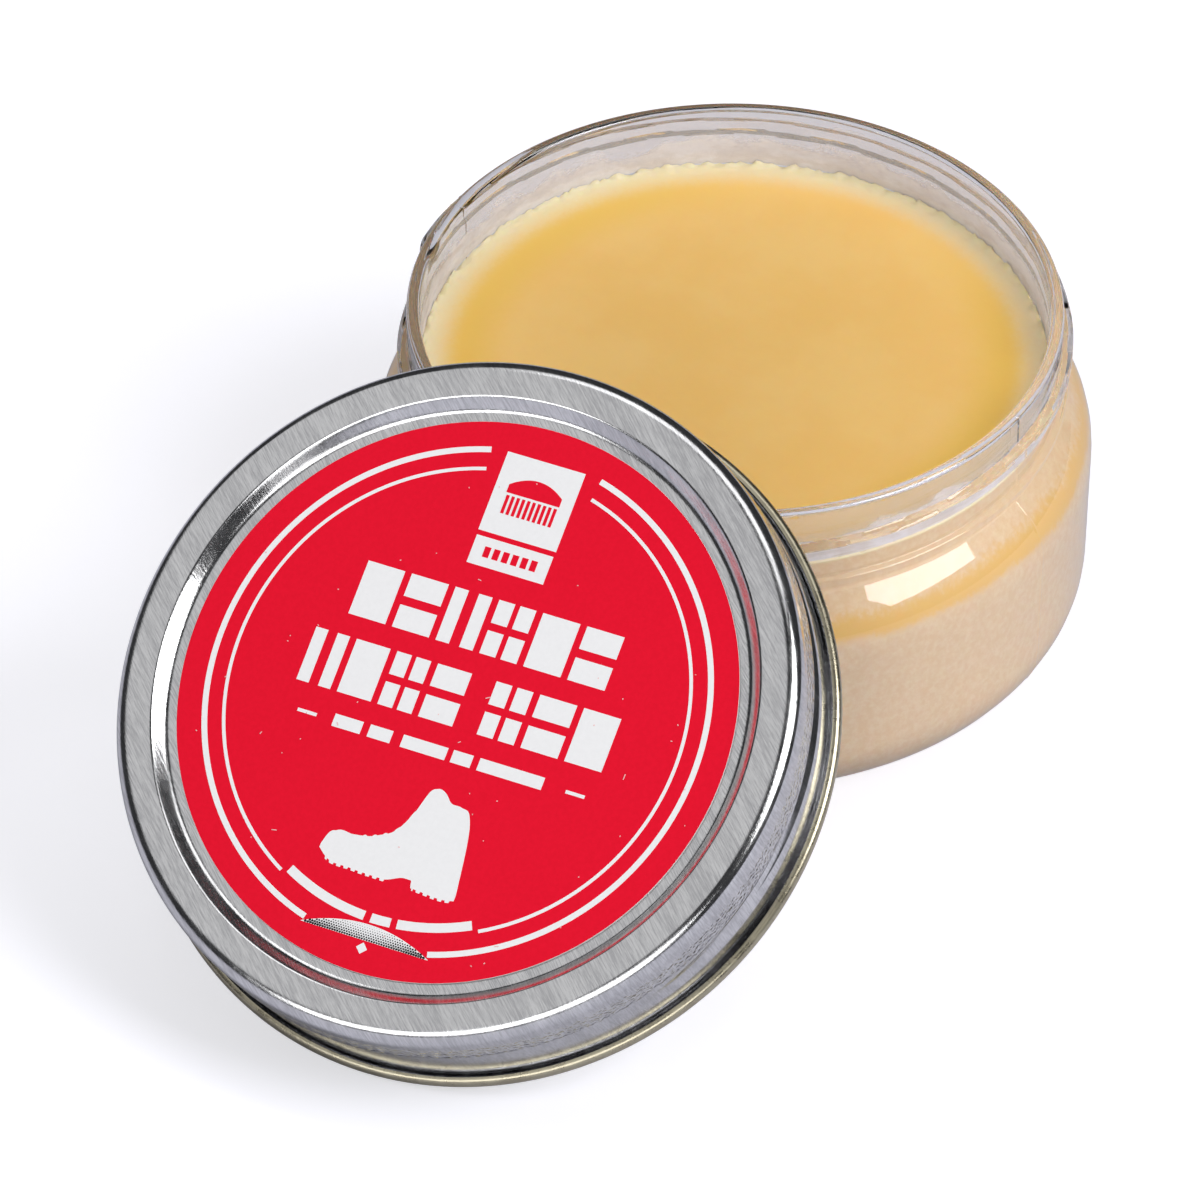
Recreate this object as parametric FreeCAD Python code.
import FreeCAD, Part
import math
import os

# Open jar of shoe polish with its screw lid leaning on it. Millimetres, +Z up.
# Origin: the jar's axis where its foot meets the table. The lid leans on the -Y side.

# ---- jar, a clear moulded PET jar with a 70 mm neck --------------------------------------
JAR_HEIGHT = 37.6
RIM_RADIUS = 33.5
MOUTH_RADIUS = 32.15
BODY_RADIUS_TOP = 36.85
BODY_RADIUS_FOOT = 36.45
WALL = 1.25
FLOOR = 1.3
FOOT_CORNER = 7.5
SHOULDER_HEIGHT = 23.2
SHOULDER_ROUND = 5.0
NECK_ROOT_HEIGHT = 26.6
PUSH_UP = 1.0
PUSH_UP_RADIUS = 23.0
PUSH_UP_ROUND = 3.0
PUSH_UP_INSET = 0.4             # how far the floor's inside stands in from its outside
FOOT_RING_INNER = 25.5
FOOT_RING_ROUND = 1.5
FOOT_RING_INSET = 0.9
NECK_ROOT_ROUND = 0.1
NECK_INSIDE_RISE = 0.5
NECK_INSIDE_ROUND = 1.5
TRANSFER_RING_RADIUS = 34.2
TRANSFER_RING_BELOW_RIM = 9.7
TRANSFER_RING_HEIGHT = 0.9
TRANSFER_RING_SLOPE = 0.1
TRANSFER_RING_ROUND = 0.3
TRANSFER_RING_ROOT_ROUND = 0.2
RIM_ROUND = 0.6

# ---- screw thread: one start, 6 turns per inch, as a 70 mm jar finish has -----------------
THREAD_PITCH = 25.4 / 6
THREAD_TURNS = 1.05
THREAD_RADIUS = 34.5
THREAD_ROOT_HALF = 1.0
THREAD_CREST_HALF = 0.6
THREAD_CREST_ROUND = 0.25
THREAD_START_BELOW_RIM = 6.55
THREAD_START_ANGLE = -94.5      # anticlockwise from -Y, on the mould's parting plane
THREAD_EMBED = 0.2

# ---- wax ---------------------------------------------------------------------------------
WAX_BELOW_RIM = 7.0
WAX_CLEARANCE = 0.05
WAX_EDGE_ROUND = 0.5

# ---- lid, pressed from tinplate; its own frame has z = 0 at the open end ------------------
SHEET = 0.25
LID_RADIUS = 35.15
LID_BAND_RADIUS = 35.0
LID_HEIGHT = 13.38
LID_CORNER = 2.0
PANEL_TOP = 12.12
PANEL_RADIUS = 29.85
RISER_RADIUS = 31.2
RISER_ROUND = 0.6
CREASE_TOP = 7.75
CREASE_BOTTOM = 7.55
CREASE_ROUND = 0.08
KNURL_TOP = 10.6
KNURL_BOTTOM = 7.9
KNURL_COUNT = 156
KNURL_DEPTH = 0.1
CURL_RADIUS = 0.72
CURL_END_ANGLE = 95.0
LID_THREAD_RADIUS = 33.95
LID_THREAD_START = 5.4
LID_THREAD_TURNS = 0.75
LID_THREAD_ROOT_HALF = 1.25
LID_THREAD_CREST_HALF = 0.5
LID_THREAD_START_ANGLE = 50.0
LID_THREAD_EMBED = 0.05
LID_GROOVE_RADIUS = 34.35
LID_GROOVE_ROOT_HALF = 1.25
LID_GROOVE_CREST_HALF = 0.3
LID_GROOVE_OVERCUT = 0.2

# ---- foam liner inside the lid -----------------------------------------------------------
LINER_RADIUS = 34.4
LINER_THICKNESS = 1.2
LINER_GAP = 0.12
LINER_EDGE_ROUND = 0.2

# ---- peel-open label: a glued ply and a ply that opens like a page ------------------------
LABEL_RADIUS = 28.8
PLY = 0.12
PLY_GAP = 0.02
LABEL_SPIN = 2.2
HINGE_OFFSET = 26.4
HINGE_SLOT = 0.15

# ---- how the lid leans --------------------------------------------------------------------
LEAN_ANGLE = 34.65
LID_AXIS_Y = -52.8
FLOOR_GAP = 0.03

STRAIGHT = 1e-6                 # a corner that turns by less than this, in radians, isn't rounded
UP = FreeCAD.Vector(0, 0, 1)
CENTRE = FreeCAD.Vector(0, 0, 0)


def in_plane(r, z):
    """A point of a section drawn in the XZ plane."""
    return FreeCAD.Vector(r, 0, z)


def chain(points):
    """Edges through (r, z, corner radius) points, with the inner corners rounded."""
    stops = [in_plane(r, z) for r, z, _ in points]
    edges = []
    here = stops[0]
    for i in range(1, len(points) - 1):
        corner = stops[i]
        radius = points[i][2]
        back = (stops[i - 1] - corner).normalize()
        ahead = (stops[i + 1] - corner).normalize()
        half = 0.5 * back.getAngle(ahead)
        if radius <= 0 or abs(half - 0.5 * math.pi) < STRAIGHT:
            edges.append(Part.makeLine(here, corner))
            here = corner
            continue
        reach = radius / math.tan(half)
        start = corner + back * reach
        end = corner + ahead * reach
        bisector = (back + ahead).normalize()
        middle = corner + bisector * (radius / math.sin(half) - radius)
        edges.append(Part.makeLine(here, start))
        edges.append(Part.Arc(start, middle, end).toShape())
        here = end
    edges.append(Part.makeLine(here, stops[-1]))
    return edges


def closed_wire(points):
    """A closed outline whose first point is a sharp corner."""
    return Part.Wire(chain(points + [points[0]]))


def spun(wire):
    """The solid that a section makes when it turns about the Z axis."""
    return Part.Face(wire).revolve(CENTRE, UP, 360)


def on_circle(centre_r, centre_z, radius, degrees):
    """A point of a circle drawn in the XZ plane."""
    angle = math.radians(degrees)
    return in_plane(centre_r + radius * math.cos(angle), centre_z + radius * math.sin(angle))


def arc(centre_r, centre_z, radius, start, end):
    """An arc of a circle drawn in the XZ plane, between two angles."""
    stops = [on_circle(centre_r, centre_z, radius, a) for a in (start, 0.5 * (start + end), end)]
    return Part.Arc(*stops).toShape()


def thread(section, turns, start_angle, start_height):
    """A helical ridge with the given (r, z, corner radius) section, starting at an angle from -Y."""
    radius = section[0][0]
    helix = Part.makeHelix(THREAD_PITCH, THREAD_PITCH * turns, radius)
    ridge = Part.Wire(helix.Edges).makePipeShell([closed_wire(section)], True, True)
    ridge.rotate(CENTRE, UP, start_angle - 90)
    ridge.translate(UP * start_height)
    return ridge


def jar_cavity(gap):
    """The (r, z, corner radius) outline of the jar's inside, drawn in by a gap, from floor to neck."""
    inner_top = BODY_RADIUS_TOP - WALL - gap
    inner_foot = BODY_RADIUS_FOOT - WALL - gap
    floor = FLOOR + gap
    return [
        (0, floor + PUSH_UP, 0),
        (PUSH_UP_RADIUS - PUSH_UP_INSET, floor + PUSH_UP, PUSH_UP_ROUND),
        (FOOT_RING_INNER - FOOT_RING_INSET, floor, FOOT_RING_ROUND),
        (inner_foot, floor, FOOT_CORNER - WALL),
        (inner_top, SHOULDER_HEIGHT - WALL, SHOULDER_ROUND - WALL),
        (MOUTH_RADIUS - gap, NECK_ROOT_HEIGHT + NECK_INSIDE_RISE, NECK_INSIDE_ROUND),
    ]


def jar_body():
    """The jar: foot ring, drafted wall, round shoulder, transfer ring, threaded neck, round rim."""
    ring = JAR_HEIGHT - TRANSFER_RING_BELOW_RIM
    ring_top = ring + TRANSFER_RING_HEIGHT
    outside = [
        (0, PUSH_UP, 0),
        (PUSH_UP_RADIUS, PUSH_UP, PUSH_UP_ROUND),
        (FOOT_RING_INNER, 0, FOOT_RING_ROUND),
        (BODY_RADIUS_FOOT, 0, FOOT_CORNER),
        (BODY_RADIUS_TOP, SHOULDER_HEIGHT, SHOULDER_ROUND),
        (RIM_RADIUS, NECK_ROOT_HEIGHT, NECK_ROOT_ROUND),
        (TRANSFER_RING_RADIUS, ring + TRANSFER_RING_SLOPE, TRANSFER_RING_ROUND),
        (TRANSFER_RING_RADIUS, ring_top - TRANSFER_RING_SLOPE, TRANSFER_RING_ROUND),
        (RIM_RADIUS, ring_top, TRANSFER_RING_ROOT_ROUND),
        (RIM_RADIUS, JAR_HEIGHT, RIM_ROUND),
        (MOUTH_RADIUS, JAR_HEIGHT, RIM_ROUND),
    ]
    glass = spun(closed_wire(outside + jar_cavity(0)[::-1]))
    root = RIM_RADIUS - THREAD_EMBED
    section = [
        (root, -THREAD_ROOT_HALF, 0),
        (THREAD_RADIUS, -THREAD_CREST_HALF, THREAD_CREST_ROUND),
        (THREAD_RADIUS, THREAD_CREST_HALF, THREAD_CREST_ROUND),
        (root, THREAD_ROOT_HALF, 0),
    ]
    start = JAR_HEIGHT - THREAD_START_BELOW_RIM
    return glass.fuse(thread(section, THREAD_TURNS, THREAD_START_ANGLE, start))


def wax_fill():
    """The wax, cast in the jar up to the neck."""
    surface = JAR_HEIGHT - WAX_BELOW_RIM
    top = [(MOUTH_RADIUS - WAX_CLEARANCE, surface, WAX_EDGE_ROUND), (0, surface, 0)]
    return spun(closed_wire(jar_cavity(WAX_CLEARANCE) + top))


def lid_crown():
    """The lid's recessed panel, raised border and corner, down to the knurled band."""
    inner = LID_RADIUS - SHEET
    panel_under = PANEL_TOP - SHEET
    border_under = LID_HEIGHT - SHEET
    riser_slope = math.atan2(LID_HEIGHT - PANEL_TOP, RISER_RADIUS - PANEL_RADIUS)
    shift = SHEET * math.tan(riser_slope / 2)
    return spun(closed_wire([
        (0, PANEL_TOP, 0),
        (PANEL_RADIUS, PANEL_TOP, RISER_ROUND),
        (RISER_RADIUS, LID_HEIGHT, RISER_ROUND),
        (LID_RADIUS, LID_HEIGHT, LID_CORNER),
        (LID_RADIUS, KNURL_TOP, 0),
        (inner, KNURL_TOP, 0),
        (inner, border_under, LID_CORNER - SHEET),
        (RISER_RADIUS + shift, border_under, RISER_ROUND - SHEET),
        (PANEL_RADIUS + shift, panel_under, RISER_ROUND + SHEET),
        (0, panel_under, 0),
    ]))


def lid_knurl():
    """The knurled band: a ring whose outside is a row of shallow flutes."""
    step = 360 / KNURL_COUNT

    def at(radius, index):
        angle = math.radians(step * index)
        return FreeCAD.Vector(radius * math.cos(angle), radius * math.sin(angle), KNURL_BOTTOM)

    flutes = [
        Part.Arc(at(LID_RADIUS, i), at(LID_RADIUS - KNURL_DEPTH, i + 0.5), at(LID_RADIUS, i + 1)).toShape()
        for i in range(KNURL_COUNT)
    ]
    bore = Part.Wire([Part.makeCircle(LID_RADIUS - SHEET, UP * KNURL_BOTTOM)])
    face = Part.Face(Part.Wire(flutes)).cut(Part.Face(bore))
    return face.extrude(UP * (KNURL_TOP - KNURL_BOTTOM))


def lid_skirt():
    """The lower skirt, from the knurl over a fine crease to the outward curl at the open end."""
    inner_top = LID_RADIUS - SHEET
    inner = LID_BAND_RADIUS - SHEET
    curl_r = inner + CURL_RADIUS
    outside = chain([
        (LID_RADIUS, KNURL_BOTTOM, 0),
        (LID_RADIUS, CREASE_TOP, CREASE_ROUND),
        (LID_BAND_RADIUS, CREASE_BOTTOM, CREASE_ROUND),
        (LID_BAND_RADIUS, CURL_RADIUS, 0),
    ])
    inside = chain([
        (inner, CURL_RADIUS, 0),
        (inner, CREASE_BOTTOM, CREASE_ROUND),
        (inner_top, CREASE_TOP, CREASE_ROUND),
        (inner_top, KNURL_BOTTOM, 0),
        (LID_RADIUS, KNURL_BOTTOM, 0),
    ])
    around = arc(curl_r, CURL_RADIUS, CURL_RADIUS - SHEET, 180, 360 + CURL_END_ANGLE)
    back = arc(curl_r, CURL_RADIUS, CURL_RADIUS, 360 + CURL_END_ANGLE, 180)
    lip = Part.makeLine(
        on_circle(curl_r, CURL_RADIUS, CURL_RADIUS - SHEET, CURL_END_ANGLE),
        on_circle(curl_r, CURL_RADIUS, CURL_RADIUS, CURL_END_ANGLE),
    )
    return spun(Part.Wire(outside + [around, lip, back] + inside))


def rolled_in(root, root_half, crest, crest_half):
    """The lid thread's path, swept with a section that narrows from its root radius in to its crest."""
    section = [
        (root, -root_half, 0),
        (root, root_half, 0),
        (crest, crest_half, THREAD_CREST_ROUND),
        (crest, -crest_half, THREAD_CREST_ROUND),
    ]
    return thread(section, LID_THREAD_TURNS, LID_THREAD_START_ANGLE, LID_THREAD_START)


def lid_shell():
    """The lid's one sheet of tinplate: the thread is a bead inside and a groove outside its skirt."""
    bead_root = LID_RADIUS - SHEET + LID_THREAD_EMBED
    groove_root = LID_RADIUS + LID_GROOVE_OVERCUT
    bead = rolled_in(bead_root, LID_THREAD_ROOT_HALF, LID_THREAD_RADIUS, LID_THREAD_CREST_HALF)
    groove = rolled_in(groove_root, LID_GROOVE_ROOT_HALF, LID_GROOVE_RADIUS, LID_GROOVE_CREST_HALF)
    wall = lid_crown().fuse([lid_knurl(), lid_skirt()]).removeSplitter()
    return wall.fuse(bead).cut(groove)


def lid_liner():
    """The foam sealing disc, loose under the panel."""
    top = PANEL_TOP - SHEET - LINER_GAP
    bottom = top - LINER_THICKNESS
    return spun(closed_wire([
        (0, bottom, 0),
        (LINER_RADIUS, bottom, LINER_EDGE_ROUND),
        (LINER_RADIUS, top, LINER_EDGE_ROUND),
        (0, top, 0),
    ]))


def disc(bottom, radius=LABEL_RADIUS):
    """A round ply of the label."""
    return Part.makeCylinder(radius, PLY, UP * bottom)


def beyond_hinge(bottom, offset):
    """A block that covers the label's margin past a line across its top."""
    size = 2 * LABEL_RADIUS
    block = Part.makeBox(size, size, PLY, FreeCAD.Vector(-LABEL_RADIUS, offset, bottom))
    block.rotate(CENTRE, UP, LABEL_SPIN)
    return block


def label_base():
    """The glued ply, with the glued margin of the upper ply that stays behind."""
    upper = PANEL_TOP + PLY + PLY_GAP
    margin = disc(upper).common(beyond_hinge(upper, HINGE_OFFSET + HINGE_SLOT))
    foot = disc(PANEL_TOP + PLY)
    glue = foot.common(beyond_hinge(PANEL_TOP + PLY, HINGE_OFFSET + HINGE_SLOT))
    return disc(PANEL_TOP).fuse([glue, margin]).removeSplitter()


def label_top():
    """The printed ply that peels open about a line near its top edge."""
    bottom = PANEL_TOP + PLY + PLY_GAP
    return disc(bottom).cut(beyond_hinge(bottom, HINGE_OFFSET))


def leaned(shape):
    """A lid piece, moved from the lid's own frame to where the lid leans on the jar."""
    angle = math.radians(LEAN_ANGLE)
    curl_centre = LID_BAND_RADIUS - SHEET + CURL_RADIUS
    height = FLOOR_GAP + CURL_RADIUS * (1 - math.cos(angle)) + curl_centre * math.sin(angle)
    turned = shape.copy()
    turned.rotate(CENTRE, FreeCAD.Vector(1, 0, 0), LEAN_ANGLE)
    turned.translate(FreeCAD.Vector(0, LID_AXIS_Y, height))
    return turned


def write(name, shape):
    """Write one closed solid as parts/NAME.step."""
    solid = shape.Solids[0]
    if len(shape.Solids) != 1 or not solid.isValid() or not solid.isClosed():
        raise RuntimeError(name + " is not one valid closed solid")
    solid.exportStep("parts/" + name + ".step")


os.makedirs("parts", exist_ok=True)
write("jar_body", jar_body())
write("wax_fill", wax_fill())
write("lid_shell", leaned(lid_shell()))
write("lid_liner", leaned(lid_liner()))
write("label_base", leaned(label_base()))
write("label_top", leaned(label_top()))
